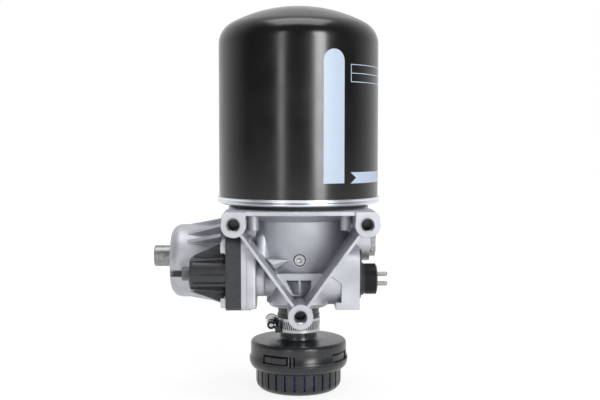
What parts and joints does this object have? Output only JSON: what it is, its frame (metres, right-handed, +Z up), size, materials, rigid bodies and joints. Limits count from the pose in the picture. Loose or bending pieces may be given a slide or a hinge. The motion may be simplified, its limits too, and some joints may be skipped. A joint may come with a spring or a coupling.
{
  "type": "air dryer",
  "caption": "Spin-on cartridge air dryer for vehicle compressed air, with governor, pressure limiter, heater and exhaust silencer.",
  "frame": {"origin": "on the mounting face, midway between the two upper mounting holes", "axes": "+Z up along the cartridge, -Y out of the mounting face towards the vehicle's bracket, +X towards the heater connector"},
  "size_m": [0.2014, 0.145, 0.328],
  "materials": {
    "black_enamel": "gloss baked enamel",
    "galvanised_steel": "galvanised, bright",
    "seat_rubber": "moulded, matt",
    "bright_steel": "turned or drawn, bright",
    "filter_felt": "wound felt",
    "white_nylon": "moulded, satin",
    "desiccant_beads": "porous beads",
    "cast_aluminium": "die-cast, bead blasted",
    "machined_aluminium": "turned, satin",
    "black_nylon": "glass-filled moulding, satin",
    "zinc_plate": "zinc plated, bright",
    "black_oxide": "blackened steel, satin",
    "connector_black": "moulded, satin",
    "tinned_brass": "tinned, bright",
    "soft_aluminium": "annealed, matt",
    "blue_mesh": "knitted plastic mesh",
    "silencer_nylon": "glass-filled moulding, satin"
  },
  "bodies": {
    "dryer": {"canister_shell": "black_enamel", "canister_rim": "galvanised_steel", "canister_base_plate": "galvanised_steel", "canister_gasket": "seat_rubber", "canister_stud": "bright_steel", "canister_spring": "bright_steel", "coalescing_filter": "filter_felt", "desiccant_cup": "white_nylon", "desiccant_bed": "desiccant_beads", "lower_sieve_plate": "white_nylon", "upper_sieve_plate": "white_nylon", "housing": "cast_aluminium", "front_sealing_plug": "machined_aluminium", "governor_cover": "black_nylon", "governor_bolts": "zinc_plate", "governor_spring": "bright_steel", "governor_spring_seat": "bright_steel", "adjusting_screw": "black_oxide", "adjusting_locknut": "black_oxide", "limiter_cover": "cast_aluminium", "limiter_bolts": "zinc_plate", "limiter_end_cap": "zinc_plate", "limiter_spring": "bright_steel", "heater_flange": "connector_black", "heater_connector": "connector_black", "heater_pins": "tinned_brass", "heater_rod": "bright_steel", "port_plug": "zinc_plate", "port_plug_seal": "soft_aluminium", "check_valve_spring": "bright_steel", "check_valve_ring": "bright_steel", "purge_valve_seat": "machined_aluminium", "purge_valve_spring": "bright_steel", "valve_guide": "white_nylon", "exhaust_neck": "black_nylon", "exhaust_retaining_ring": "bright_steel", "clamp_band": "zinc_plate", "clamp_housing": "zinc_plate", "clamp_screw": "zinc_plate", "silencer_cover": "silencer_nylon", "silencer_cage": "silencer_nylon", "silencer_mesh": "blue_mesh", "silencer_baffle": "silencer_nylon"},
    "governor_valve": {"governor_piston": "machined_aluminium", "governor_seal": "seat_rubber"},
    "limiter_valve": {"limiter_piston": "machined_aluminium", "limiter_seal": "seat_rubber"},
    "purge_valve": {"purge_piston": "machined_aluminium", "purge_valve_disc": "seat_rubber"},
    "check_valve": {"check_valve_disc": "seat_rubber"}
  },
  "joints": [
    {"name": "governor_lift", "type": "slide", "parent": "dryer", "child": "governor_valve", "axis": [-1, 0, 0], "range_m": [0, 0.002], "stiffness_N_per_m": 8000, "springref_m": -0.004, "deforming": ["governor_spring"]},
    {"name": "limiter_lift", "type": "slide", "parent": "dryer", "child": "limiter_valve", "axis": [-1, 0, 0], "range_m": [0, 0.004], "stiffness_N_per_m": 6000, "springref_m": -0.006, "deforming": ["limiter_spring"]},
    {"name": "purge_lift", "type": "slide", "parent": "dryer", "child": "purge_valve", "axis": [0, 0, -1], "range_m": [0, 0.0025], "stiffness_N_per_m": 2000, "springref_m": -0.004, "deforming": ["purge_valve_spring"]},
    {"name": "check_lift", "type": "slide", "parent": "dryer", "child": "check_valve", "axis": [0, 1, 0], "range_m": [0, 0.003], "stiffness_N_per_m": 300, "springref_m": -0.004, "deforming": ["check_valve_spring"]}
  ]
}
